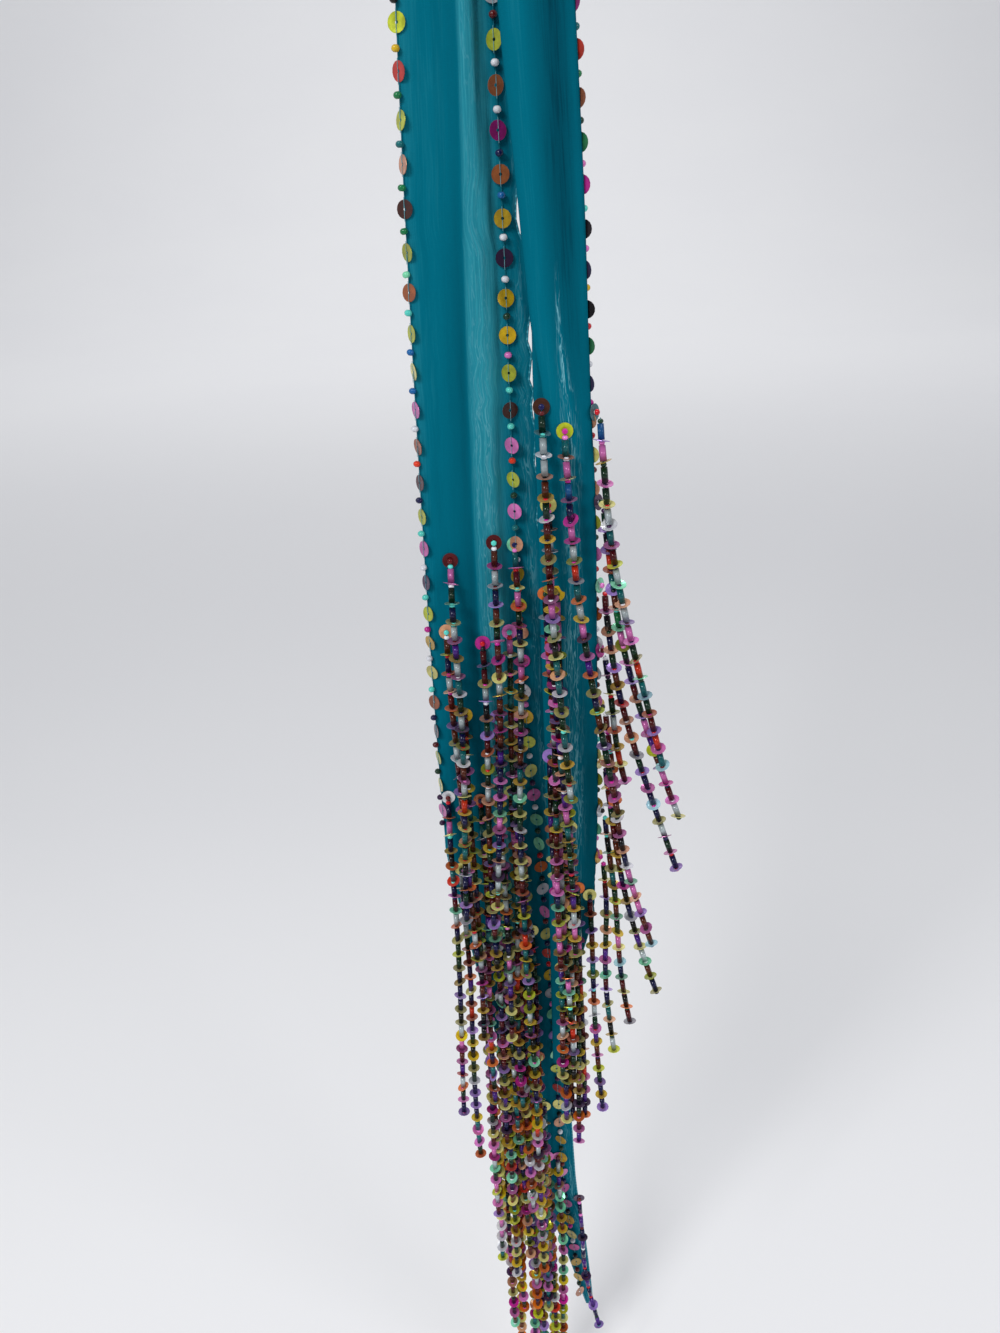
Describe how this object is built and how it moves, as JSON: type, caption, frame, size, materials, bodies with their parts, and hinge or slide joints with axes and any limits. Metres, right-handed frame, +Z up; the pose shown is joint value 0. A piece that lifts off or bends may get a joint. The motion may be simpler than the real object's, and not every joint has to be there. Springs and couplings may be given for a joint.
{
  "type": "skinny scarf",
  "caption": "Long narrow chiffon scarf held at its middle, tails hanging with slanted ends, sequin and bead edging and cascading strands of beads",
  "frame": {"origin": "the underside of the fold, where the scarf is held", "axes": "+Z up along the hanging tails, +X to the picture's right across the cloth, -Y the face that the picture shows, with the short tail in front"},
  "size_m": [0.0946, 0.0491, 0.9076],
  "materials": {
    "cloth": "sheer teal chiffon with a soft crinkle and a faint sheen",
    "beads": "glossy glass tubes and seed beads with pearly and iridescent sequins in mixed colours"
  },
  "bodies": {
    "root": {"tail_long": "cloth", "tail_short": "cloth", "middle_over_hand": "cloth", "fringe_long_1": "beads", "fringe_long_2": "beads", "fringe_long_3": "beads", "fringe_long_4": "beads", "fringe_long_5": "beads", "fringe_long_6": "beads", "fringe_long_7": "beads", "fringe_long_8": "beads", "fringe_long_9": "beads", "fringe_long_10": "beads", "fringe_long_11": "beads", "fringe_short_1": "beads", "fringe_short_2": "beads", "fringe_short_3": "beads", "fringe_short_4": "beads", "fringe_short_5": "beads", "fringe_short_6": "beads", "fringe_short_7": "beads", "fringe_short_edge_upper": "beads", "fringe_short_edge_lower": "beads"}
  },
  "joints": []
}
